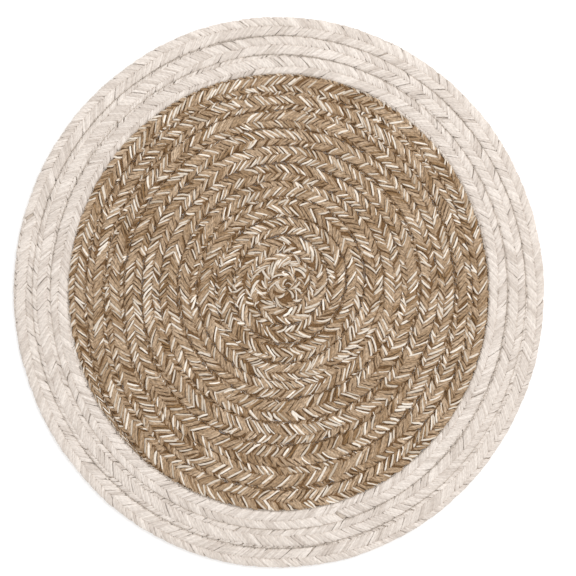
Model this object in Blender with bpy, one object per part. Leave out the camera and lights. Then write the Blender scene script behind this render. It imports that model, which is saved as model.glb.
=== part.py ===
"""Round braided area rug: a tan braid wound in a spiral, with three cream braids as closed rings
round it, each braid a woven sleeve over a flat filler cord, all sewn edge to edge.

Metres, +Z up. The origin is the middle of the underside, which lies on z = 0.
"""

import math

import bmesh
import bpy

# ---- The rug as a whole ------------------------------------------------------------------------
THICKNESS = 0.012
OUT_OF_ROUND = 0.019  # the soft rug has been pulled this share longer along Y and narrower along X
GAP = 0.0003  # between pieces that touch
SEGMENTS = 24  # straight steps in one turn, at the same angles on every round

# ---- The tan spiral ----------------------------------------------------------------------------
TAN_ROUNDS = 12
TAN_PITCH = 0.0298  # from one round to the next
TAIL_ANGLE = math.radians(232)  # where the spiral's outer end lies
TAPER_TURN = 0.125  # the part of a turn over which the tail narrows
TAIL_TIP_WIDTH = 0.004
CLIMB_TURN = 0.35  # the part of a turn in which a round steps out by one pitch
LATE_TURN = 0.27  # how far into its turn the first round's step begins; the last one's begins at once
EYE_PLACE = (0.014, 0.006)  # the first coil's middle, off the rug's; the last round lies true
WIDENED_ROUNDS = 5  # the outer rounds that spread to fill the place of the tapered tail

# ---- The cream border --------------------------------------------------------------------------
CREAM_PITCH = 0.0308
RING_JOINS = {  # where the two ends of each ring's braid butt together
    "inner": math.radians(285),
    "middle": math.radians(45),
    "outer": math.radians(165),
}

# ---- A braid's section -------------------------------------------------------------------------
SHOULDER_WIDTH = 0.0055  # the sloping shoulder between the flat top and the side
SHOULDER_DROP = 0.0042
SLEEVE_WALL = 0.0035
LEAST_BORE = 0.002  # the narrowest bore that still takes the filler

# ---- Sewing ------------------------------------------------------------------------------------
THREAD_DIAMETER = 0.0012
BUTT_STITCH_LENGTH = 0.016
TACK_INSET = 0.0006  # how far a tack's ends stay inside the rug's two faces

# ---- Finish ------------------------------------------------------------------------------------
SHARP_ANGLE = math.radians(30)  # edges that turn by more than this stay sharp
YARN_ROUGHNESS = 0.9
FILLER_ROUGHNESS = 0.95
THREAD_ROUGHNESS = 0.7
TAN = (0.392, 0.287, 0.191)
CREAM = (0.745, 0.665, 0.597)
FILLER = (0.620, 0.560, 0.480)
BROWN_THREAD = (0.185, 0.125, 0.075)
CREAM_THREAD = (0.700, 0.600, 0.500)

TURN = 2 * math.pi
STEP = TURN / SEGMENTS
TAN_RADIUS = TAN_ROUNDS * TAN_PITCH
THREAD_RADIUS = THREAD_DIAMETER / 2
EYE_RADIUS = THREAD_RADIUS + GAP  # the eye that the first coil leaves round the centre tack


# ---- The spiral's plan -------------------------------------------------------------------------
def share(value, low, high):
    """How far value lies from low to high, held between 0 and 1."""
    return min(max((value - low) / (high - low), 0.0), 1.0)


def smooth(x):
    return x * x * (3 - 2 * x)


def tan_edge(turn):
    """Radius of the tan braid's outer edge this many turns along the spiral.

    The rounds are nearly circles, which step out by one pitch in a part of each turn, and the
    outer ones spread beside the tail to fill its place.
    """
    whole = math.floor(turn)
    part = turn - whole
    late = LATE_TURN * (1 - share(whole, 0, TAN_ROUNDS - 1))
    stepped = smooth(share(part, late, late + CLIMB_TURN))
    rounds = whole + stepped
    spread = share(rounds, TAN_ROUNDS - 1 - WIDENED_ROUNDS, TAN_ROUNDS - 1)
    room = 1 - stepped + share(part, 1 - TAPER_TURN, 1)
    return min((rounds + spread * room) * TAN_PITCH, TAN_RADIUS)


def tan_edges(turn):
    """The tan braid's inner and outer edge, before the gaps are taken off."""
    inner = tan_edge(turn - 1) if turn > 1 else 0
    return max(inner, EYE_RADIUS - GAP / 2), tan_edge(turn)


def half_width(edges):
    return (edges[1] - edges[0] - GAP) / 2


def turn_at(step):
    return (step * STEP - TAIL_ANGLE) / TURN


def last_tan_turn(step):
    """The place of the tan spiral's outermost round at this step."""
    return TAN_ROUNDS - (TAIL_ANGLE - step * STEP) % TURN / TURN


def tan_steps():
    """The steps at which the tan braid starts, its filler ends and its tail ends."""
    bore = SLEEVE_WALL + LEAST_BORE / 2
    steps = range(math.ceil(TAIL_ANGLE / STEP), math.ceil((TAIL_ANGLE + TAN_ROUNDS * TURN) / STEP))
    start = next(s for s in steps if half_width(tan_edges(turn_at(s))) >= bore)
    filler_end = max(s for s in steps if turn_at(s) <= TAN_ROUNDS - TAPER_TURN)
    tail = max(s for s in steps if 2 * half_width(tan_edges(turn_at(s))) >= TAIL_TIP_WIDTH)
    return start, filler_end, tail


def ring_edges(index):
    inner = TAN_RADIUS + index * CREAM_PITCH
    return inner, inner + CREAM_PITCH


def plan(radius, angle, height):
    """A point of the rug: its rounds have SEGMENTS straight sides, the inner ones lie off its middle,
    and the whole is pulled along Y."""
    side = math.cos(STEP / 2) / math.cos(angle % STEP - STEP / 2)
    off = 1 - share(radius, 0, TAN_RADIUS)
    return (
        (radius * side * math.cos(angle) + EYE_PLACE[0] * off) * (1 - OUT_OF_ROUND),
        (radius * side * math.sin(angle) + EYE_PLACE[1] * off) * (1 + OUT_OF_ROUND),
        height,
    )


# ---- Sections ----------------------------------------------------------------------------------
def shoulder_width(half):
    return min(SHOULDER_WIDTH, half / 2)


def braid_section(edges, angle):
    """The braid's outline across one place: flat top and underside, upright sides, sloping shoulders."""
    low, high = edges[0] + GAP / 2, edges[1] - GAP / 2
    slope = shoulder_width(half_width(edges))
    corners = (
        (low, SHOULDER_DROP),
        (low + slope, 0),
        (high - slope, 0),
        (high, SHOULDER_DROP),
        (high, THICKNESS - SHOULDER_DROP),
        (high - slope, THICKNESS),
        (low + slope, THICKNESS),
        (low, THICKNESS - SHOULDER_DROP),
    )
    return [plan(radius, angle, height) for radius, height in corners]


def inner_section(edges, angle, inset):
    """A rectangle this far inside the braid's sides, top and underside."""
    low, high = edges[0] + GAP / 2 + inset, edges[1] - GAP / 2 - inset
    corners = ((low, inset), (high, inset), (high, THICKNESS - inset), (low, THICKNESS - inset))
    return [plan(radius, angle, height) for radius, height in corners]


def valley_height(*halves):
    """Height of a seam thread that rests on the shoulders of the two rounds beside it."""
    slope = min(shoulder_width(half) for half in halves)
    face = math.hypot(slope, SHOULDER_DROP)
    rise = ((THREAD_RADIUS + GAP) * face - GAP / 2 * SHOULDER_DROP) / slope
    return THICKNESS - SHOULDER_DROP + rise


# ---- Meshes and curves -------------------------------------------------------------------------
def add_wall(bm, loops):
    """The faces between each loop of points and the next."""
    for first, second in zip(loops, loops[1:]):
        for k in range(len(first)):
            after = (k + 1) % len(first)
            bm.faces.new((first[k], first[after], second[after], second[k]))


def add_rim(bm, outer, bore):
    """The end face between a braid's outline, of eight corners, and its bore, of four."""
    for k in range(len(bore)):
        before, corner = outer[2 * k], outer[2 * k + 1]
        after = outer[(2 * k + 2) % len(outer)]
        bm.faces.new((bore[k], before, corner))
        bm.faces.new((bore[k], corner, after, bore[(k + 1) % len(bore)]))


def add_loft(name, material, outlines, bores=()):
    """A solid through a row of outlines. A bore opens at its start, and at its end if it gets there."""
    bm = bmesh.new()
    outer = [[bm.verts.new(point) for point in outline] for outline in outlines]
    add_wall(bm, outer)
    if bores:
        inner = [[bm.verts.new(point) for point in bore] for bore in bores]
        add_wall(bm, inner)
        add_rim(bm, outer[0], inner[0])
        if len(bores) == len(outlines):
            add_rim(bm, outer[-1], inner[-1])
        else:
            bm.faces.new(inner[-1])
            bm.faces.new(outer[-1])
    else:
        bm.faces.new(outer[0])
        bm.faces.new(outer[-1])
    bmesh.ops.recalc_face_normals(bm, faces=bm.faces)
    mesh = bpy.data.meshes.new(name)
    bm.to_mesh(mesh)
    bm.free()
    mesh.shade_smooth()
    mesh.set_sharp_from_angle(angle=SHARP_ANGLE)
    return add_object(name, mesh, material)


def add_thread(name, material, points, closed=False, bevel_resolution=0):
    """A thread through these points: a long one has few sides, a short stitch more."""
    curve = bpy.data.curves.new(name, "CURVE")
    curve.dimensions = "3D"
    curve.twist_mode = "Z_UP"
    curve.bevel_depth = THREAD_RADIUS
    curve.bevel_resolution = bevel_resolution
    curve.use_fill_caps = not closed
    spline = curve.splines.new("POLY")
    spline.points.add(len(points) - 1)
    for spline_point, point in zip(spline.points, points):
        spline_point.co = (*point, 1)
    spline.use_cyclic_u = closed
    return add_object(name, curve, material)


def add_object(name, data, material):
    data.materials.append(material)
    obj = bpy.data.objects.new(name, data)
    bpy.data.collections["braided_area_rug"].objects.link(obj)
    obj.parent = bpy.data.objects["rug_origin"]
    return obj


def add_material(name, colour, roughness):
    material = bpy.data.materials.new(name)
    material.use_nodes = True
    shader = material.node_tree.nodes["Principled BSDF"]
    shader.inputs["Base Color"].default_value = (*colour, 1)
    shader.inputs["Roughness"].default_value = roughness
    shader.inputs["Metallic"].default_value = 0
    return material


# ---- The tan spiral ----------------------------------------------------------------------------
def build_tan_braid(yarn, filler):
    start, filler_end, tail = tan_steps()
    outlines = [braid_section(tan_edges(turn_at(s)), s * STEP) for s in range(start, tail + 1)]
    places = [(tan_edges(turn_at(s)), s * STEP) for s in range(start, filler_end + 1)]
    bores = [inner_section(edges, angle, SLEEVE_WALL) for edges, angle in places]
    add_loft("tan_braid", yarn, outlines, bores)

    last_edges, end = places[-1]
    places[-1] = (last_edges, end - GAP / last_edges[0])  # the filler stops short of the blind end
    cord = [inner_section(edges, angle, SLEEVE_WALL + GAP) for edges, angle in places]
    add_loft("tan_filler_cord", filler, cord)


def build_tan_seams(thread):
    """The needle and bobbin threads of the seam that runs between each tan round and the next."""
    start, _, tail = tan_steps()
    needle = []
    for s in range(start + 1, tail - SEGMENTS):
        halves = (half_width(tan_edges(turn_at(s))), half_width(tan_edges(turn_at(s) + 1)))
        needle.append(plan(tan_edge(turn_at(s)), s * STEP, valley_height(*halves)))
    bobbin = [(x, y, THICKNESS - height) for x, y, height in needle]
    add_thread("tan_seam_needle_thread", thread, needle)
    add_thread("tan_seam_bobbin_thread", thread, bobbin)


def build_tacks(thread):
    """The stitch through the first coil's eye, and the one beside the tail's tip."""
    low, high = TACK_INSET, THICKNESS - TACK_INSET
    eye = [plan(0, 0, height) for height in (low, high)]
    add_thread("centre_tack", thread, eye, bevel_resolution=2)
    tail = tan_steps()[2]
    radius = sum(tan_edges(turn_at(tail))) / 2
    angle = tail * STEP + (THREAD_RADIUS + GAP) / radius
    ends = [plan(radius, angle, height) for height in (low, high)]
    add_thread("tail_tack", thread, ends, bevel_resolution=2)


# ---- The cream border --------------------------------------------------------------------------
def ring_angles(join, radius):
    """From one side of the butt join, round the ring, to its other side."""
    start = join + GAP / 2 / radius
    end = join + TURN - GAP / 2 / radius
    corners = range(math.floor(start / STEP) + 1, math.ceil(end / STEP))
    return [start] + [k * STEP for k in corners] + [end]


def build_cream_ring(name, index, yarn, filler):
    edges = ring_edges(index)
    angles = ring_angles(RING_JOINS[name], edges[0])
    outlines = [braid_section(edges, angle) for angle in angles]
    bores = [inner_section(edges, angle, SLEEVE_WALL) for angle in angles]
    cord = [inner_section(edges, angle, SLEEVE_WALL + GAP) for angle in angles]
    add_loft(f"cream_braid_{name}", yarn, outlines, bores)
    add_loft(f"cream_filler_cord_{name}", filler, cord)


def build_ring_seam(name, index, thread):
    """The closed seam that sews a ring's inner edge to the round inside it."""
    edges = ring_edges(index)
    needle = []
    for k in range(SEGMENTS):
        inside = ring_edges(index - 1) if index else tan_edges(last_tan_turn(k))
        height = valley_height(half_width(edges), half_width(inside))
        needle.append(plan(edges[0], k * STEP, height))
    bobbin = [(x, y, THICKNESS - z) for x, y, z in needle]
    add_thread(f"border_seam_needle_thread_{name}", thread, needle, closed=True)
    add_thread(f"border_seam_bobbin_thread_{name}", thread, bobbin, closed=True)


def build_butt_stitch(name, index, thread):
    """The stitch that draws a ring's two ends together, lying on its inner shoulder."""
    edges = ring_edges(index)
    slope = shoulder_width(half_width(edges))
    face = math.hypot(slope, SHOULDER_DROP)
    off = THREAD_RADIUS + GAP
    radius = edges[0] + GAP / 2 + slope / 2 - off * SHOULDER_DROP / face
    height = THICKNESS - SHOULDER_DROP / 2 + off * slope / face
    reach = BUTT_STITCH_LENGTH / 2 / radius
    points = [plan(radius, RING_JOINS[name] + k * reach, height) for k in (-1, 0, 1)]
    add_thread(f"butt_stitch_{name}", thread, points, bevel_resolution=2)


def main():
    for obj in list(bpy.data.objects):
        bpy.data.objects.remove(obj)
    collection = bpy.data.collections.new("braided_area_rug")
    bpy.context.scene.collection.children.link(collection)
    collection.objects.link(bpy.data.objects.new("rug_origin", None))

    tan_yarn = add_material("tan_yarn", TAN, YARN_ROUGHNESS)
    cream_yarn = add_material("cream_yarn", CREAM, YARN_ROUGHNESS)
    filler = add_material("filler_cord", FILLER, FILLER_ROUGHNESS)
    brown_thread = add_material("brown_thread", BROWN_THREAD, THREAD_ROUGHNESS)
    cream_thread = add_material("cream_thread", CREAM_THREAD, THREAD_ROUGHNESS)

    build_tan_braid(tan_yarn, filler)
    build_tan_seams(brown_thread)
    build_tacks(brown_thread)
    for index, name in enumerate(RING_JOINS):
        build_cream_ring(name, index, cream_yarn, filler)
        build_ring_seam(name, index, cream_thread)
        build_butt_stitch(name, index, cream_thread)


main()
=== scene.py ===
"""Looks of a round braided area rug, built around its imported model.

Each braid is a woven sleeve over a flat filler cord. Its eight strands, of four yarn ends each, run
round the sleeve in two directions, over two and under two. So four ribs of slanting yarn lie along
it, and what shows of them on each face is a herringbone. Every stretch of yarn that lies on a braid's
surface is modelled, on the rug's top, underside and edge.
"""

import math

import bpy
import numpy as np
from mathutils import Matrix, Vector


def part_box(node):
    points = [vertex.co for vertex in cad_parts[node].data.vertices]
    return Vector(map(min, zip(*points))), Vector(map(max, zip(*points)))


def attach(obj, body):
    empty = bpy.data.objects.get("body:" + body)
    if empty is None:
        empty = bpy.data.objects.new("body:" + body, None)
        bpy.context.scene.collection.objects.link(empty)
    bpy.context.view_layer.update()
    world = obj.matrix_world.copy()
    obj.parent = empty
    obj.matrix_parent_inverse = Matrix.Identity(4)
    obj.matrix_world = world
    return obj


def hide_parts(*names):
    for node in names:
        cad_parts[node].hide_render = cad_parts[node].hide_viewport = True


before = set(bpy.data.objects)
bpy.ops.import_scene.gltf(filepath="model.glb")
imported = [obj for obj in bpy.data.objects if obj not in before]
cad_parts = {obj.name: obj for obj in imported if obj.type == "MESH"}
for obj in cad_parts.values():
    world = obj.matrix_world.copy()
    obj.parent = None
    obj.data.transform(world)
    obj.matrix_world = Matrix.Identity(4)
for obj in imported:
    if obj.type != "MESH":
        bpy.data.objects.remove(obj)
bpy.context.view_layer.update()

TURN = 2 * math.pi

# ---- The rug's plan, read from the frame and otherwise as in the part ----------------------------
RINGS = {  # each cream ring and the angle of its butt join
    "inner": math.radians(285),
    "middle": math.radians(45),
    "outer": math.radians(165),
}
outer_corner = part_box("cream_braid_outer")[1]
inner_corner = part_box("cream_braid_inner")[1]
THICKNESS = outer_corner.z
MIDDLE = THICKNESS / 2
RADIUS = (outer_corner.x + outer_corner.y) / 2
OUT_OF_ROUND = (outer_corner.y - outer_corner.x) / (outer_corner.y + outer_corner.x)
CREAM_PITCH = (RADIUS - (inner_corner.x + inner_corner.y) / 2) / 2
TAN_RADIUS = RADIUS - 3 * CREAM_PITCH
TAN_ROUNDS = 12
TAN_PITCH = TAN_RADIUS / TAN_ROUNDS
TAIL_ANGLE = math.radians(232)  # where the spiral's outer end lies
TAPER_TURN = 0.125  # the part of a turn over which the tail narrows
CLIMB_TURN = 0.35  # the part of a turn in which a round steps out by one pitch
LATE_TURN = 0.27  # how far into its turn the first round's step begins; the last one's begins at once
EYE_PLACE = (0.014, 0.006)  # the first coil's middle, off the rug's; the last round lies true
WIDENED_ROUNDS = 5  # the outer rounds that spread to fill the place of the tapered tail
START_TURN = 0.30  # where the first coil begins, beside the centre tack
RING_SPARE = 0.02  # how far a ring's course goes on past its butt join, at each end
TAN_STEPS, RING_STEPS = 9000, 1200  # points along a course

# ---- A braid -------------------------------------------------------------------------------------
# Its section's roundness, how far it is pressed beyond its room (1 fills it) and how unevenly.
TAN_SHAPE = {"roundness": 2.6, "pressed": 1.06, "uneven": 0.055}
CREAM_SHAPE = {"roundness": 3.0, "pressed": 1.045, "uneven": 0.030}
LAY = 0.0755  # the length in which a strand goes once round the braid
RIBS = 4  # rows of slanting yarn side by side round the braid, alternately to the left and right
SPINE_TURN = -3 / 16  # rolls the braid so that two ribs meet along the middle of each face
STEEPNESS = 1.05  # yarn lies this much more along the braid than its lay alone would have it
ROLL = 0.035  # how far the braid rolls from that to each side, in turns, in its shorter swings
SLIP = 0.016  # how far its strands slip along it from an even lay
# Swings along a braid: how many waves make one, and how long the shortest and the longest of them are.
PRESSED_WAVES = (7, 0.03, 0.2)
ROLL_WAVES = (6, 0.23, 1.1)
SLOW_ROLL_WAVES = (5, 1.0, 5.0)
SLIP_WAVES = (7, 0.4, 2.5)
WHITE_WAVES = (5, 0.23, 1.1)
SWING_STEPS = 4000  # points along a swing

# ---- Sleeves and fillers, under the yarn ---------------------------------------------------------
SLEEVE_DEPTH = 0.0012  # from the middle of the yarn down to the sleeve's ground
NARROW_DEPTH = 0.3  # and no more than this share of a tapering braid's half width
SLEEVE_SIDES, FILLER_SIDES = 20, 12
SLEEVE_STEP, FILLER_STEP = 0.006, 0.01
BORE_INSET = 0.0038  # from the sides of the braid's room in to its bore
FILLER_INSET = 0.0041  # and in to the filler
LEAST_HALF = 0.001  # half a bore's or a filler's width is never less than this
FILLER_START, FILLER_SHORT = 0.03, 0.28  # from the spiral's start, and short of its tail
SLEEVE_JOIN, FILLER_JOIN = 0.0002, 0.0005  # left open at each side of a butt join
SLEEVE_CELL, FILLER_CELL, SEAM_CELL = 40, 60, 120  # spans in one cell of the baked map

# ---- Yarn ----------------------------------------------------------------------------------------
ENDS = 4  # yarn ends in a strand
YARN_HEIGHT = 0.0030
YARN_CROWN = 0.0003  # how much higher a stretch of yarn is in its middle
YARN_REACH = 1.18  # its length, as a share of what lies on the surface
YARN_POINTS = 9  # along a stretch
YARN_INSET = 0.35  # its middle lies in by half its height, or this share of a tapering braid's half width
STRAND_CROWN = 0.00025  # how much higher a strand's middle ends are than its outer ones
PIECE_LIMIT = 1900  # stretches in one piece, which keeps it under the export's 200,000 triangles
USUAL_HALF = TAN_PITCH / 2  # half the width of a braid of the usual size
TAN_WEAVE = {
    "cover": 1.55,  # a stretch's width, as a share of its room
    "mess": 1.6,  # how unevenly stretches lie, by SCATTER
    "stray": 1.6,  # how much more so at the spiral's start
    "bunch": 0.5,  # how far a strand's ends draw together at the braid's sides
    "tuck": 0.0025,  # how deep the ends of a stretch dive under the next strand
    "roll": 0.17,  # how far the braid rolls in its slow swings, in turns
    "tones": 0.20,  # how much stretches differ in tone
    "white": 0.74,  # a white end's width, as a share of a tan one's, or 0 for no white
}
CREAM_WEAVE = {
    "cover": 1.72, "mess": 0.75, "stray": 0.0, "bunch": 0.2, "tuck": 0.0014, "roll": 0.12, "tones": 0.27,
    "white": 0,
}
SCATTER = {  # by how much stretches differ: each alone, and a strand's four ends together
    "reach": (0.06, 0.03),
    "white reach": (0.09, 0),
    "steepness": (0.07, 0.06),
    "place": (0.0005, 0.0008),
    "bow": (0.0009, 0),
    "round": (0.04, 0.04),
    "turn": (0.007, 0.008),
    "lift": (0.00018, 0.0001),
    "width": (0.1, 0),
}
REACH_RANGE, WHITE_REACH_RANGE, WIDTH_RANGE = (0.85, 1.15), (0.75, 1.25), (0.7, 1.25)
LIFT_RANGE = (-0.0006, 0.0004)
TUCK_RANGE = (0.66, 1.14)  # where along half a stretch it dives
BLUNT_RANGE = (0.8, 1.15)  # where it thins
BLUNT = 0.55  # and by how much
LEAST_ROOM = 0.2  # a stretch is never thinner than one with this share of the usual room
LEAST_RADIUS = 0.003  # nor narrower than at this distance from the spiral's middle
OWN_TONE, SHARED_TONE = 0.85, 0.5  # what a stretch's tone has of its own, and shares with its strand
WHITE_REACH = 0.85  # a white end shows over this share of a tan one's length
WHITE_LIFT = 0.00025  # and stands this much higher
FIRST_WHITE = [0.16, 0.40, 0.28, 0.16]  # how often each end of a strand is its first white one
ONE_WHITE, TWO_WHITE = 0.84, 0.33  # how many strands have a first white end, and a second
WHITE_SWING, WHITE_START = 0.10, 0.8  # how much that swings, and how much higher it is at the start
BUNCH_NEAR, BUNCH_FAR = 0.03, 0.13  # a strand's ends draw together this near its braid's side, in turns
STRAY_LENGTH = 0.6  # how far from its start the spiral's first coils are laid less evenly
FLOOR_GAP = 0.0002  # from the floor to the yarn pressed on it
FLOOR_GIVE = 0.00025  # how gradually yarn flattens near it

# ---- Sewing --------------------------------------------------------------------------------------
STITCH_LENGTH = 0.0045
STITCH_REACH = 0.0012  # to each side of the groove
STITCH_RISE = 0.0031  # above the middle of the rug's thickness
THREAD_RADIUS = 0.00045
BUTT_STITCH_LENGTH = 0.016
BUTT_STITCH_TURN = 0.385  # where it lies round the braid's section: on its inner shoulder
BUTT_STITCH_DIVE = 0.003  # how deep its ends go
BUTT_STITCH_POINTS = 13

# ---- Maps ----------------------------------------------------------------------------------------
CELL_ASPECT = 2.4  # a cell of the baked map is this many times as wide as it is high
CELL_MARGIN = 0.08
CAP_PLACE, CAP_SIZE = 0.04, 0.03  # in the margin, where the ends of tubes go
MAP_SHIFT = 3.0  # each tube's yarn map starts somewhere in this, so that no two look alike
MAP_SEED = 5

# ---- Camera and light ----------------------------------------------------------------------------
CAMERA_PLACE = (0.0153, 0.0070)
CAMERA_HEIGHT = 3.0
SEEN = 0.9585  # the width of rug and floor that fills the frame
SENSOR = 36  # mm
LIGHT_PLACE = (1.3, 1.2, 2.6)
LIGHT_SIZE, LIGHT_POWER = 2.2, 34
WORLD_STRENGTH = 0.95
FLOOR_GLOW = 0.12

RNG = np.random.default_rng(12)


# ---- The plan ------------------------------------------------------------------------------------
def share(value, low, high):
    """How far value lies from low to high, held between 0 and 1."""
    return np.clip((value - low) / (high - low), 0, 1)


def smooth(x):
    return x * x * (3 - 2 * x)


def tan_edge(turn):
    """Radius of the tan braid's outer edge this many turns along the spiral."""
    whole = np.floor(turn)
    part = turn - whole
    late = LATE_TURN * (1 - share(whole, 0, TAN_ROUNDS - 1))
    stepped = smooth(share(part, late, late + CLIMB_TURN))
    rounds = whole + stepped
    spread = share(rounds, TAN_ROUNDS - 1 - WIDENED_ROUNDS, TAN_ROUNDS - 1)
    room = 1 - stepped + share(part, 1 - TAPER_TURN, 1)
    return np.minimum((rounds + spread * room) * TAN_PITCH, TAN_RADIUS)


def plan(radius, angle, height):
    """A point of the rug, whose inner rounds lie off its middle and which is pulled along Y."""
    off = 1 - share(radius, 0, TAN_RADIUS)
    x = (radius * np.cos(angle) + EYE_PLACE[0] * off) * (1 - OUT_OF_ROUND)
    y = (radius * np.sin(angle) + EYE_PLACE[1] * off) * (1 + OUT_OF_ROUND)
    return np.stack(np.broadcast_arrays(x, y, height), axis=-1)


def make_path(angle, inner, outer, shape, start=0.0):
    """A braid's course: at each length along it, the angle, the middle radius and half the width."""
    middle = (inner + outer) / 2
    steps = np.hypot(np.diff(middle), middle[1:] * np.diff(angle))
    length = np.concatenate([[0], np.cumsum(steps)]) - start
    pressed = shape["pressed"] + wander(length, PRESSED_WAVES, shape["uneven"])
    return {
        "length": length, "angle": angle, "middle": middle, "half": (outer - inner) / 2,
        "pressed": pressed, "section": section_table(shape["roundness"]),
    }


def tan_path():
    turn = np.linspace(START_TURN, TAN_ROUNDS, TAN_STEPS)
    inner = np.where(turn > 1, tan_edge(turn - 1), 0)
    return make_path(TAIL_ANGLE + TURN * turn, inner, tan_edge(turn), TAN_SHAPE)


def ring_path(index):
    """A ring from its butt join round to it again, with a little more at each end."""
    inner = TAN_RADIUS + index * CREAM_PITCH
    join = list(RINGS.values())[index]
    spare_angle = RING_SPARE / (inner + CREAM_PITCH / 2)
    angle = np.linspace(join - spare_angle, join + TURN + spare_angle, RING_STEPS)
    inner = np.full_like(angle, inner)
    return make_path(angle, inner, inner + CREAM_PITCH, CREAM_SHAPE, RING_SPARE)


def along(path, length, name):
    return np.interp(length, path["length"], path[name])


# ---- A braid's section ---------------------------------------------------------------------------
def section_table(roundness):
    """Points of a section at even steps round it: shares of its half width and height, and normal.

    Its exponent is its roundness: 2 makes an ellipse, and more is squarer.
    """
    angle = np.linspace(0, TURN, 2001)
    wide, high = USUAL_HALF - YARN_HEIGHT / 2, MIDDLE - YARN_HEIGHT / 2 - YARN_CROWN
    power = 2 / roundness
    x = np.sign(np.cos(angle)) * np.abs(np.cos(angle)) ** power
    z = np.sign(np.sin(angle)) * np.abs(np.sin(angle)) ** power
    run = np.concatenate([[0], np.cumsum(np.hypot(np.diff(x) * wide, np.diff(z) * high))])
    even = np.linspace(0, run[-1], 1001)
    x, z = np.interp(even, run, x), np.interp(even, run, z)
    nx = np.sign(x) * np.abs(x) ** (roundness - 1) / wide
    nz = np.sign(z) * np.abs(z) ** (roundness - 1) / high
    size = np.hypot(nx, nz)
    return {"round": even / even[-1], "x": x, "z": z, "nx": nx / size, "nz": nz / size, "girth": run[-1]}


def section(path, name, turn):
    return np.interp(turn % 1, path["section"]["round"], path["section"][name])


def skin(path, length, turn, lift):
    """The point this far along a braid, this share of the way round it, and lifted off its skin, and
    the direction straight out of the skin there."""
    length, turn, lift = np.broadcast_arrays(length, turn, lift)
    half = along(path, length, "half") * along(path, length, "pressed")
    inset = np.minimum(YARN_HEIGHT / 2, half * YARN_INSET)
    sideways, upwards = section(path, "nx", turn), section(path, "nz", turn)
    offset = section(path, "x", turn) * (half - inset) + sideways * lift
    rise = section(path, "z", turn) * (MIDDLE - YARN_HEIGHT / 2 - YARN_CROWN)
    height = MIDDLE + rise + upwards * lift
    angle = along(path, length, "angle")
    out = np.stack([sideways * np.cos(angle), sideways * np.sin(angle), upwards], axis=-1)
    return plan(along(path, length, "middle") + offset, angle, height), out


# ---- Meshes --------------------------------------------------------------------------------------
YARN_SECTION = np.array([(1, -0.1), (0.74, 0.72), (0, 1), (-0.74, 0.72), (-1, -0.1), (0, -0.9)])
ROUND_SECTION = np.array([(math.cos(TURN * k / 6), math.sin(TURN * k / 6)) for k in range(6)])


def unit(vectors):
    return vectors / np.linalg.norm(vectors, axis=-1, keepdims=True)


def sweep(points, out, width, height, corners):
    """Rings of corners round lines of points: their first numbers go sideways, and their second out."""
    forward = unit(np.gradient(points, axis=-2))
    side = unit(np.cross(forward, out))
    up = np.cross(side, forward)
    side = (side * width[..., None])[..., None, :] * corners[:, 0, None]
    up = (up * height[..., None])[..., None, :] * corners[:, 1, None]
    return points[..., None, :] + side + up


def atlas(tubes, spans, sides, cell_spans, caps):
    """A cell of the baked map for each row of cell_spans spans: corners of every quad and cap."""
    cells_each = math.ceil(spans / cell_spans)
    columns = math.ceil(math.sqrt(tubes * cells_each / CELL_ASPECT))
    rows = math.ceil(tubes * cells_each / columns)
    tube, span, side = np.meshgrid(np.arange(tubes), np.arange(spans), np.arange(sides), indexing="ij")
    cell = tube * cells_each + span // cell_spans
    local = span % cell_spans
    u = np.stack([local, local, local + 1, local + 1], axis=-1) / cell_spans
    v = np.stack([side, side + 1, side + 1, side], axis=-1) / sides
    u = (cell % columns)[..., None] + CELL_MARGIN + (1 - 2 * CELL_MARGIN) * u
    v = (cell // columns)[..., None] + CELL_MARGIN + (1 - 2 * CELL_MARGIN) * v
    places = [np.stack([u / columns, v / rows], axis=-1).reshape(-1, 2)]
    turn = TURN * np.arange(sides) / sides
    first_cells = np.arange(tubes) * cells_each
    ends = ((first_cells, CAP_PLACE), (first_cells + cells_each - 1, 1 - CAP_PLACE))
    for cells, middle in ends if caps else ():
        u = (cells % columns)[:, None] + middle + CAP_SIZE * np.cos(turn)
        v = (cells // columns)[:, None] + 0.5 + CAP_SIZE * np.sin(turn)
        places.append(np.stack([u / columns, v / rows], axis=-1).reshape(-1, 2))
    return np.concatenate(places)


def tube_faces(tubes, count, sides, closed):
    """The quads between rings, numbered by tube, span and side, and every face's corners and start."""
    index = np.arange(tubes * count * sides).reshape(tubes, count, sides)
    beside = np.roll(index, -1, axis=2)
    spans = count if closed else count - 1
    ahead, ahead_beside = np.roll(index, -1, axis=1), np.roll(beside, -1, axis=1)
    quads = np.stack([index, beside, ahead_beside, ahead], axis=-1)[:, :spans]
    corners, starts = [quads.ravel()], [np.arange(quads.size // 4) * 4]
    if not closed:
        corners += [index[:, 0, ::-1].ravel(), index[:, -1].ravel()]
        starts.append(quads.size + np.arange(2 * tubes) * sides)
    return quads, np.concatenate(corners), np.concatenate(starts)


def yarn_map(rings, quads, closed):
    """A map in metres along each tube and in turns round it."""
    tubes, count, sides, _ = rings.shape
    middles = rings.mean(axis=2)
    steps = np.linalg.norm(np.roll(middles, -1, axis=1) - middles, axis=-1)
    run = np.concatenate([np.zeros((tubes, 1)), np.cumsum(steps, axis=1)], axis=1)
    run = run + np.random.default_rng(MAP_SEED).uniform(0, MAP_SHIFT, (tubes, 1))
    spans = quads.shape[1]
    u = np.stack([run[:, :spans], run[:, :spans], run[:, 1:spans + 1], run[:, 1:spans + 1]], axis=-1)
    side = np.arange(sides)
    v = np.stack([side, side + 1, side + 1, side], axis=-1) / sides
    places = [np.stack(np.broadcast_arrays(u[:, :, None], v), axis=-1).reshape(-1, 2)]
    if not closed:
        for end in (run[:, :1], run[:, count - 1:count]):
            places.append(np.stack(np.broadcast_arrays(end, side / sides), axis=-1).reshape(-1, 2))
    return np.concatenate(places)


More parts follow.
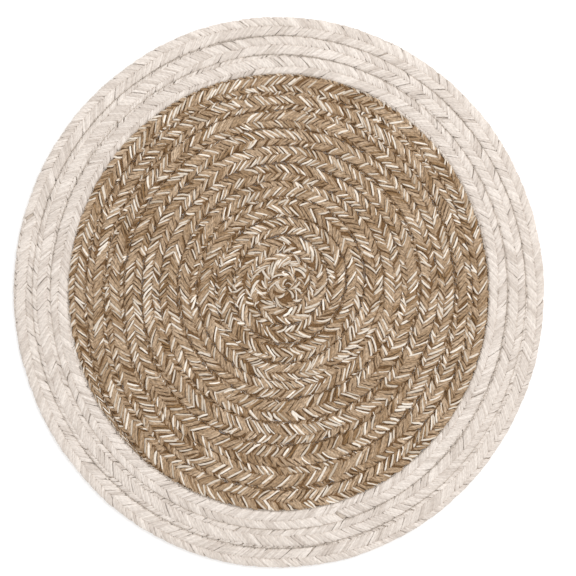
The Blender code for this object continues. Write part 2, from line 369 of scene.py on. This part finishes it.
def add_tubes(name, rings, material, tone=None, cell_spans=None, closed=False):
    """One piece of tubes, capped or closed on themselves. rings is numbered by tube, ring, corner and
    coordinate."""
    tubes, count, sides, _ = rings.shape
    quads, corners, starts = tube_faces(tubes, count, sides, closed)
    mesh = bpy.data.meshes.new(name)
    mesh.vertices.add(tubes * count * sides)
    mesh.vertices.foreach_set("co", rings.astype(np.float32).ravel())
    mesh.loops.add(len(corners))
    mesh.loops.foreach_set("vertex_index", corners.astype(np.int32))
    mesh.polygons.add(len(starts))
    mesh.polygons.foreach_set("loop_start", starts.astype(np.int32))
    mesh.update(calc_edges=True)
    mesh.validate()
    spans = quads.shape[1]
    maps = {
        "yarn": yarn_map(rings, quads, closed),
        "OFBake": atlas(tubes, spans, sides, cell_spans or spans, not closed),
    }
    for map_name, places in maps.items():
        mesh.uv_layers.new(name=map_name).uv.foreach_set("vector", places.astype(np.float32).ravel())
    tones = np.full(tubes, 0.5) if tone is None else tone
    attribute = mesh.attributes.new("tone", "FLOAT", "POINT")
    attribute.data.foreach_set("value", np.repeat(tones, count * sides).astype(np.float32))
    mesh.materials.append(material)
    mesh.shade_smooth()
    piece = bpy.data.objects.new(name, mesh)
    bpy.context.scene.collection.objects.link(piece)
    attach(piece, "root")
    return piece


def add_yarn(name, yarn, chosen, material):
    """The chosen stretches of yarn, in as few pieces as their number allows, from the start on."""
    order = np.flatnonzero(chosen)
    order = order[np.argsort(yarn["length"][order], kind="stable")]
    pieces = math.ceil(len(order) / PIECE_LIMIT)
    for k, members in enumerate(np.array_split(order, pieces)):
        piece_name = f"{name}_{k + 1}" if pieces > 1 else name
        add_tubes(piece_name, yarn["rings"][members], material, yarn["tone"][members])


# ---- Yarn ----------------------------------------------------------------------------------------
def wander(length, waves, size):
    """An irregular swing along a braid."""
    count, shortest, longest = waves
    total = np.zeros_like(length)
    for wave in np.linspace(shortest, longest, count):
        total += np.sin(TURN * (length / wave + RNG.uniform())) * RNG.uniform(0.5, 1)
    return total * size / math.sqrt(count)


def lay_rib(path, start, end, rib, roll, slip, weave):
    """The stretches of yarn along one rib of a braid, which rolls and slips by functions of length.

    A stretch runs from -1 to 1, over its whole room at a reach of 1, and dives where its edge is 1.
    """
    slant = 1 - 2 * (rib % 2)
    rib_turn = (1 + RIBS * rib) / (RIBS * RIBS)
    spacing = LAY / (RIBS * ENDS)
    first = math.ceil((start - slant * rib_turn * LAY) / spacing)
    last = math.floor((end - slant * rib_turn * LAY) / spacing)
    number = np.arange(first, last + 1)
    count = len(number)
    shifted = number + rib % 2 * ENDS // 2
    strand, end_number = shifted // ENDS, shifted % ENDS
    strand = strand - strand[0]
    middle = slip(slant * rib_turn * LAY + number * spacing)
    mess = weave["mess"] * (1 + weave["stray"] * np.exp(-np.maximum(middle, 0) / STRAY_LENGTH))

    def scatter(what):
        """How far each stretch is from the usual one, partly together with its strand's other ends."""
        alone, together = SCATTER[what]
        shared = RNG.normal(0, 1, strand[-1] + 1)[strand]
        return (mess * (alone * RNG.normal(0, 1, count) + together * shared))[:, None]

    white = pick_white(strand, end_number, middle) if weave["white"] else np.zeros(count, bool)
    paler = white[:, None].astype(float)
    t = np.linspace(-1, 1, YARN_POINTS)
    reach = YARN_REACH * np.clip(1 + scatter("reach"), *REACH_RANGE)
    edge = np.abs(t) * reach
    shown = WHITE_REACH * np.clip(1 + scatter("white reach"), *WHITE_REACH_RANGE)
    reach = reach * (1 - (1 - shown) * paler)
    forward = t * reach * STEEPNESS * (1 + scatter("steepness")) * LAY / (2 * RIBS)
    length = middle[:, None] + scatter("place") + forward + scatter("bow") * (1 - t**2)
    keep = (length.min(axis=1) > path["length"][0]) & (length.max(axis=1) < path["length"][-1])
    around = slant * t * reach * (1 + scatter("round")) / (2 * RIBS)
    turn = rib_turn + around + roll(length) + scatter("turn")

    aside = np.abs((turn + 0.25) % 0.5 - 0.25)  # from the nearer side of the braid, in turns
    bunched = weave["bunch"] * smooth(share(aside, BUNCH_FAR, BUNCH_NEAR))
    length = length - bunched * ((end_number - (ENDS - 1) / 2) * spacing)[:, None]

    bundle = STRAND_CROWN * (1 - ((2 * end_number - ENDS + 1) / (ENDS - 1)) ** 2)
    lift = YARN_CROWN * (1 - edge**2) - weave["tuck"] * smooth(share(edge, *TUCK_RANGE))
    lift = lift + bundle[:, None] + WHITE_LIFT * paler
    lift = lift + np.clip(scatter("lift"), *LIFT_RANGE)
    points, out = skin(path, length, turn, lift)

    apart, usual = yarn_room(path, length, turn)
    blunt = 1 - BLUNT * smooth(share(edge, *BLUNT_RANGE))
    width = apart / 2 * weave["cover"] * blunt * np.clip(1 + scatter("width"), *WIDTH_RANGE)
    width = width * (1 - (1 - weave["white"]) * paler)
    height = YARN_HEIGHT / 2 * np.sqrt(np.clip(apart / usual, LEAST_ROOM, 1)) * blunt
    return {
        "points": points[keep], "out": out[keep], "width": width[keep], "height": height[keep],
        "length": middle[keep], "strand": strand[keep], "white": white[keep],
    }


def yarn_room(path, length, turn):
    """How far apart neighbouring ends lie at a point of the skin, and on a straight braid."""
    half = along(path, length, "half")
    radius = along(path, length, "middle") + section(path, "x", turn) * half
    stretch = np.maximum(radius, LEAST_RADIUS) / along(path, length, "middle")
    usual_girth = path["section"]["girth"]
    step, girth = LAY / RIBS * stretch, usual_girth / RIBS * half / USUAL_HALF
    apart = step * girth / np.hypot(step * STEEPNESS, girth) / ENDS
    usual = LAY * usual_girth / math.hypot(LAY * STEEPNESS, usual_girth) / RIBS / ENDS
    return apart, usual


def pick_white(strand, end_number, middle):
    """Which stretches are white: mostly one of a strand's ends, now and then two or none."""
    strands = strand[-1] + 1
    start = np.zeros(strands)
    start[strand] = middle
    plenty = wander(start, WHITE_WAVES, WHITE_SWING)
    plenty = plenty + WHITE_START * np.exp(-np.maximum(start, 0) / STRAY_LENGTH)
    first = RNG.choice(ENDS, strands, p=FIRST_WHITE)
    second = (first + ENDS // 2) % ENDS
    has_first = RNG.random(strands) < ONE_WHITE + plenty
    has_second = RNG.random(strands) < TWO_WHITE + plenty
    chosen = (end_number == first[strand]) & has_first[strand]
    return chosen | ((end_number == second[strand]) & has_second[strand])


def rest_on_floor(height):
    """Yarn pressed nearly flat where it rests, in layers that stay in their order."""
    return FLOOR_GAP + FLOOR_GIVE * np.logaddexp(0, (height - FLOOR_GAP) / FLOOR_GIVE)


def lay_yarn(path, start, end, weave):
    """Every stretch of yarn on a braid's skin."""
    grid = np.linspace(path["length"][0], path["length"][-1], SWING_STEPS)
    swing = SPINE_TURN + wander(grid, ROLL_WAVES, ROLL) + wander(grid, SLOW_ROLL_WAVES, weave["roll"])
    slipped = grid + wander(grid, SLIP_WAVES, SLIP)
    ribs = []
    for number in range(RIBS):
        rib = lay_rib(path, start, end, number, lambda length: np.interp(length, grid, swing),
                      lambda length: np.interp(length, grid, slipped), weave)
        shared = RNG.normal(0, 1, rib["strand"].max() + 1)[rib["strand"]]
        own = RNG.normal(0, 1, len(shared))
        rib["tone"] = np.clip(0.5 + weave["tones"] * (OWN_TONE * own + SHARED_TONE * shared), 0, 1)
        ribs.append(rib)
    yarn = {key: np.concatenate([rib[key] for rib in ribs]) for key in ribs[0]}
    yarn["rings"] = sweep(yarn["points"], yarn["out"], yarn["width"], yarn["height"], YARN_SECTION)
    yarn["rings"][..., 2] = rest_on_floor(yarn["rings"][..., 2])
    yarn["top"] = yarn["points"][:, YARN_POINTS // 2, 2] > MIDDLE
    return yarn


# ---- Sleeves and fillers -------------------------------------------------------------------------
def sleeve_rings(path, start, end):
    """The woven sleeve just under its yarn: out along its skin, and back along its bore."""
    length = np.linspace(start, end, math.ceil((end - start) / SLEEVE_STEP) + 1)[:, None]
    turn = np.arange(SLEEVE_SIDES) / SLEEVE_SIDES
    depth = np.minimum(SLEEVE_DEPTH, along(path, length, "half") * NARROW_DEPTH)
    ground, _ = skin(path, length, turn[None], -depth)
    bore = cord_rings(path, length, turn[None], BORE_INSET)
    return np.concatenate([ground, bore[::-1]])[None]


def cord_rings(path, length, turn, inset):
    """Rings of the braid's section this far inside its room."""
    half = np.maximum(along(path, length, "half") - inset, LEAST_HALF)
    offset = section(path, "x", turn) * half
    height = MIDDLE + section(path, "z", turn) * (MIDDLE - inset)
    radius = along(path, length, "middle") + offset
    return plan(radius, along(path, length, "angle"), height)


def filler_rings(path, start, end):
    length = np.linspace(start, end, math.ceil((end - start) / FILLER_STEP) + 1)[:, None]
    turn = np.arange(FILLER_SIDES)[None] / FILLER_SIDES
    return cord_rings(path, length, turn, FILLER_INSET)[None]


# ---- Stitches ------------------------------------------------------------------------------------
def thread_rings(points, side):
    out = np.zeros_like(points)
    out[..., 2] = side
    size = np.full(points.shape[:-1], THREAD_RADIUS)
    return sweep(points, out, size, size, ROUND_SECTION)


def zigzag(angle, radius, side, closed=False):
    """A row of zigzag stitches over the groove at this radius, on the top (1) or underside (-1)."""
    run = np.concatenate([[0], np.cumsum(np.abs(np.diff(angle)) * (radius[1:] + radius[:-1]) / 2)])
    corners = 4 * int(run[-1] / STITCH_LENGTH)
    places = np.linspace(0, run[-1], corners, endpoint=not closed)
    angle, radius = np.interp(places, run, angle), np.interp(places, run, radius)
    swing = np.clip(math.sqrt(2) * np.sin(TURN * (np.arange(corners) / 4 + 1 / 8)), -1, 1)
    points = plan(radius + swing * STITCH_REACH, angle, MIDDLE + side * STITCH_RISE)
    return thread_rings(points[None], side)


def butt_stitch(path):
    """The stitch across a ring's butt join, which dives into the braid at both ends."""
    t = np.linspace(-1, 1, BUTT_STITCH_POINTS)
    lift = YARN_HEIGHT / 2 + THREAD_RADIUS - BUTT_STITCH_DIVE * smooth(share(np.abs(t), 0.5, 1))
    points, out = skin(path, t * BUTT_STITCH_LENGTH / 2, BUTT_STITCH_TURN, lift)
    size = np.full(len(t), THREAD_RADIUS)[None]
    return sweep(points[None], out[None], size, size, ROUND_SECTION)


# ---- Materials -----------------------------------------------------------------------------------
def new_material(name, roughness, sheen):
    material = bpy.data.materials.new(name)
    material.use_nodes = True
    shader = material.node_tree.nodes["Principled BSDF"]
    shader.inputs["Roughness"].default_value = roughness
    shader.inputs["Sheen Weight"].default_value = sheen
    shader.inputs["Sheen Roughness"].default_value = 0.5
    shader.inputs["Specular IOR Level"].default_value = 0.05
    return material, shader


def add_node(tree, kind, inputs=(), **settings):
    node = tree.nodes.new(kind)
    for key, value in settings.items():
        setattr(node, key, value)
    for key, value in dict(inputs).items():
        if isinstance(value, bpy.types.NodeSocket):
            tree.links.new(value, node.inputs[key])
        else:
            node.inputs[key].default_value = value
    return node


def mix_colours(tree, factor, dark, light):
    """From dark to light as the factor goes from 0 to 1."""
    node = tree.nodes.new("ShaderNodeMix")
    node.data_type = "RGBA"
    tree.links.new(factor, node.inputs["Factor"])
    node.inputs[6].default_value = (*dark, 1)
    node.inputs[7].default_value = (*light, 1)
    return node.outputs[2]


def yarn_material(name, dark, light, shade, sheen=0.12, plies=2.0, twist=0.009, slubs=(260, 9, 1)):
    """Spun cotton: each stretch has its own tone, fibres of two shades, and plies twisted together, with
    painted shade in the grooves between the plies.
    """
    material, shader = new_material(name, 0.9, sheen)
    tree = material.node_tree
    tone = add_node(tree, "ShaderNodeAttribute", attribute_name="tone").outputs["Fac"]
    yarn = add_node(tree, "ShaderNodeUVMap", uv_map="yarn").outputs["UV"]
    fibre_place = add_node(tree, "ShaderNodeMapping", {"Vector": yarn, "Scale": slubs})
    fibres = add_node(tree, "ShaderNodeTexNoise",
                      {"Vector": fibre_place.outputs[0], "Scale": 1.0, "Detail": 3.0, "Roughness": 0.65},
                      noise_dimensions="2D")
    split = add_node(tree, "ShaderNodeSeparateXYZ", {"Vector": yarn})
    forward = add_node(tree, "ShaderNodeMath", {0: split.outputs["X"], 1: TURN / twist},
                       operation="MULTIPLY")
    phase = add_node(tree, "ShaderNodeMath",
                     {0: split.outputs["Y"], 1: TURN * plies, 2: forward.outputs[0]},
                     operation="MULTIPLY_ADD")
    wave = add_node(tree, "ShaderNodeMath", {0: phase.outputs[0]}, operation="SINE")
    ply = add_node(tree, "ShaderNodeMapRange", {"Value": wave.outputs[0], "From Min": -1.0, "From Max": 1.0})

    base = mix_colours(tree, tone, dark, light)
    heather = add_node(tree, "ShaderNodeMapRange",
                       {"Value": fibres.outputs["Fac"], "From Min": 0.3, "From Max": 0.7,
                        "To Min": shade, "To Max": 2 - shade})
    # Painted shade: the colour darkens along the ply wave, in the grooves between the twisted plies.
    painted_ply_shade = add_node(tree, "ShaderNodeMapRange",
                      {"Value": ply.outputs[0], "To Min": 0.5 + shade / 2, "To Max": 1.03})
    both = add_node(tree, "ShaderNodeMath", {0: heather.outputs[0], 1: painted_ply_shade.outputs[0]},
                    operation="MULTIPLY")
    colour = add_node(tree, "ShaderNodeVectorMath", {0: base, "Scale": both.outputs[0]}, operation="SCALE")
    tree.links.new(colour.outputs[0], shader.inputs["Base Color"])
    relief = add_node(tree, "ShaderNodeMath",
                      {0: fibres.outputs["Fac"], 1: 0.6, 2: ply.outputs[0]}, operation="MULTIPLY_ADD")
    bump = add_node(tree, "ShaderNodeBump",
                    {"Height": relief.outputs[0], "Strength": 0.5, "Distance": 0.0005})
    tree.links.new(bump.outputs[0], shader.inputs["Normal"])
    return material


def fibre_material(name, dark, light, scale=900.0):
    """Matted fibres with no yarn to follow, as in the ground between stretches of yarn."""
    material, shader = new_material(name, 0.95, 0.0)
    tree = material.node_tree
    where = add_node(tree, "ShaderNodeTexCoord").outputs["Object"]
    fibres = add_node(tree, "ShaderNodeTexNoise",
                      {"Vector": where, "Scale": scale, "Detail": 3.0, "Roughness": 0.6})
    spread = add_node(tree, "ShaderNodeMapRange",
                      {"Value": fibres.outputs["Fac"], "From Min": 0.3, "From Max": 0.7})
    colour = mix_colours(tree, spread.outputs[0], dark, light)
    tree.links.new(colour, shader.inputs["Base Color"])
    bump = add_node(tree, "ShaderNodeBump",
                    {"Height": fibres.outputs["Fac"], "Strength": 0.8, "Distance": 0.0008})
    tree.links.new(bump.outputs[0], shader.inputs["Normal"])
    return material


# ---- The scene around the rug --------------------------------------------------------------------
def add_floor():
    bpy.ops.mesh.primitive_plane_add(size=30, location=(0, 0, 0))
    floor = bpy.context.object
    floor.name = "floor"
    material, shader = new_material("floor_white", 0.8, 0.0)
    shader.inputs["Base Color"].default_value = (0.93, 0.93, 0.93, 1)
    shader.inputs["Emission Color"].default_value = (1, 1, 1, 1)
    shader.inputs["Emission Strength"].default_value = FLOOR_GLOW
    floor.data.materials.append(material)


def add_light(name, location, size, power):
    light = bpy.data.lights.new(name, "AREA")
    light.shape = "SQUARE"
    light.size = size
    light.energy = power
    lamp = bpy.data.objects.new(name, light)
    bpy.context.scene.collection.objects.link(lamp)
    lamp.location = location
    lamp.rotation_euler = (-lamp.location).to_track_quat("-Z", "Y").to_euler()


def add_camera():
    """Straight down, from so far that the rug fills the frame."""
    camera = bpy.data.cameras.new("camera")
    camera.sensor_width = SENSOR
    camera.lens = SENSOR * CAMERA_HEIGHT / SEEN
    camera.clip_end = 100
    obj = bpy.data.objects.new("camera", camera)
    bpy.context.scene.collection.objects.link(obj)
    obj.location = (*CAMERA_PLACE, THICKNESS + CAMERA_HEIGHT)
    bpy.context.scene.camera = obj


def add_world():
    world = bpy.data.worlds.new("studio")
    bpy.context.scene.world = world
    world.use_nodes = True
    background = world.node_tree.nodes["Background"]
    background.inputs["Color"].default_value = (1, 1, 1, 1)
    background.inputs["Strength"].default_value = WORLD_STRENGTH
    bpy.context.scene.view_settings.view_transform = "Standard"


# ---- The rug -------------------------------------------------------------------------------------
def add_sleeve(name, node, path, start, end, material):
    piece = add_tubes(name, sleeve_rings(path, start, end), material, cell_spans=SLEEVE_CELL,
                      closed=True)
    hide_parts(node)


def add_filler(name, node, path, start, end, material):
    piece = add_tubes(name, filler_rings(path, start, end), material,
                      cell_spans=FILLER_CELL)
    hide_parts(node)


def add_tan_spiral(yarns, thread):
    path = tan_path()
    end = path["length"][-1]
    add_sleeve("tan_braid_sleeve", "tan_braid", path, 0, end, yarns["tan_ground_painted_shade"])
    add_filler("tan_filler", "tan_filler_cord", path, FILLER_START, end - FILLER_SHORT, yarns["filler"])
    yarn = lay_yarn(path, 0, end, TAN_WEAVE)
    for face, side in (("top", yarn["top"]), ("underside", ~yarn["top"])):
        add_yarn(f"tan_braid_yarn_{face}", yarn, side & ~yarn["white"], yarns["tan"])
        add_yarn(f"tan_braid_white_yarn_{face}", yarn, side & yarn["white"], yarns["white"])

    turn = np.linspace(LATE_TURN + CLIMB_TURN, TAN_ROUNDS - 1, TAN_STEPS)
    for side, row in ((1, "needle"), (-1, "bobbin")):
        rings = zigzag(TAIL_ANGLE + TURN * turn, tan_edge(turn), side)
        seam = add_tubes(f"tan_seam_{row}_stitches", rings, thread, cell_spans=SEAM_CELL)
        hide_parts(f"tan_seam_{row}_thread")


def add_cream_ring(index, name, yarns, thread):
    path = ring_path(index)
    end = path["length"][-1] - path["length"][0] - 2 * RING_SPARE
    add_sleeve(f"cream_braid_{name}_sleeve", f"cream_braid_{name}", path, SLEEVE_JOIN, end - SLEEVE_JOIN,
               yarns["cream_ground_painted_shade"])
    add_filler(f"cream_filler_{name}", f"cream_filler_cord_{name}", path, FILLER_JOIN, end - FILLER_JOIN,
               yarns["filler"])
    yarn = lay_yarn(path, 0, end, CREAM_WEAVE)
    for face, side in (("top", yarn["top"]), ("underside", ~yarn["top"])):
        add_yarn(f"cream_braid_{name}_yarn_{face}", yarn, side, yarns["cream"])

    stitch = add_tubes(f"butt_join_stitch_{name}", butt_stitch(path), thread)
    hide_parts(f"butt_stitch_{name}")
    angle = np.linspace(0, TURN, 2000)
    radius = np.full_like(angle, TAN_RADIUS + index * CREAM_PITCH)
    for side, row in ((1, "needle"), (-1, "bobbin")):
        seam = add_tubes(f"border_seam_{row}_stitches_{name}", zigzag(angle, radius, side, closed=True),
                         thread, cell_spans=SEAM_CELL, closed=True)
        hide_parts(f"border_seam_{row}_thread_{name}")


def add_materials():
    """Each yarn's darkest and lightest shade, how much darker its fibres are, and how much painted shade
    lies in its ply grooves.
    """
    return {
        "tan": yarn_material("tan_yarn_spun", (0.255, 0.149, 0.069), (0.585, 0.438, 0.304), 0.62,
                             sheen=0.04, slubs=(190, 5, 1)),
        "white": yarn_material("white_yarn_spun", (0.47, 0.38, 0.285), (0.97, 0.89, 0.79), 0.92),
        "cream": yarn_material("cream_yarn_spun", (0.60, 0.525, 0.465), (0.82, 0.745, 0.68), 0.90),
        # The tan ground is coloured much darker than the tan yarn: painted shade in the gaps between
        # stretches of yarn.
        "tan_ground_painted_shade": fibre_material("tan_ground_painted_shade", (0.10, 0.050, 0.020), (0.29, 0.170, 0.083), 600.0),
        # The cream ground is coloured a little darker than the cream yarn: painted shade in the gaps between
        # stretches of yarn.
        "cream_ground_painted_shade": fibre_material("cream_ground_painted_shade", (0.56, 0.475, 0.395), (0.68, 0.595, 0.515)),
        "filler": fibre_material("filler_fibre", (0.55, 0.48, 0.40), (0.68, 0.62, 0.54)),
        "brown_thread": yarn_material("brown_thread_spun", (0.22, 0.115, 0.045), (0.30, 0.17, 0.075),
                                      0.85, sheen=0.0, twist=0.003),
        "cream_thread": yarn_material("cream_thread_spun", (0.60, 0.52, 0.44), (0.70, 0.62, 0.54), 0.9,
                                      twist=0.003),
    }


def main():
    add_camera()
    add_world()
    add_light("key", LIGHT_PLACE, LIGHT_SIZE, LIGHT_POWER)
    add_floor()

    yarns = add_materials()
    add_tan_spiral(yarns, yarns["brown_thread"])
    for index, name in enumerate(RINGS):
        add_cream_ring(index, name, yarns, yarns["cream_thread"])
    tack_thread = fibre_material("brown_thread_tack", (0.14, 0.09, 0.05), (0.24, 0.17, 0.10), 1500.0)
    for node in ("centre_tack", "tail_tack"):
        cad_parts[node].data.materials.clear()
        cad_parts[node].data.materials.append(tack_thread)


main()
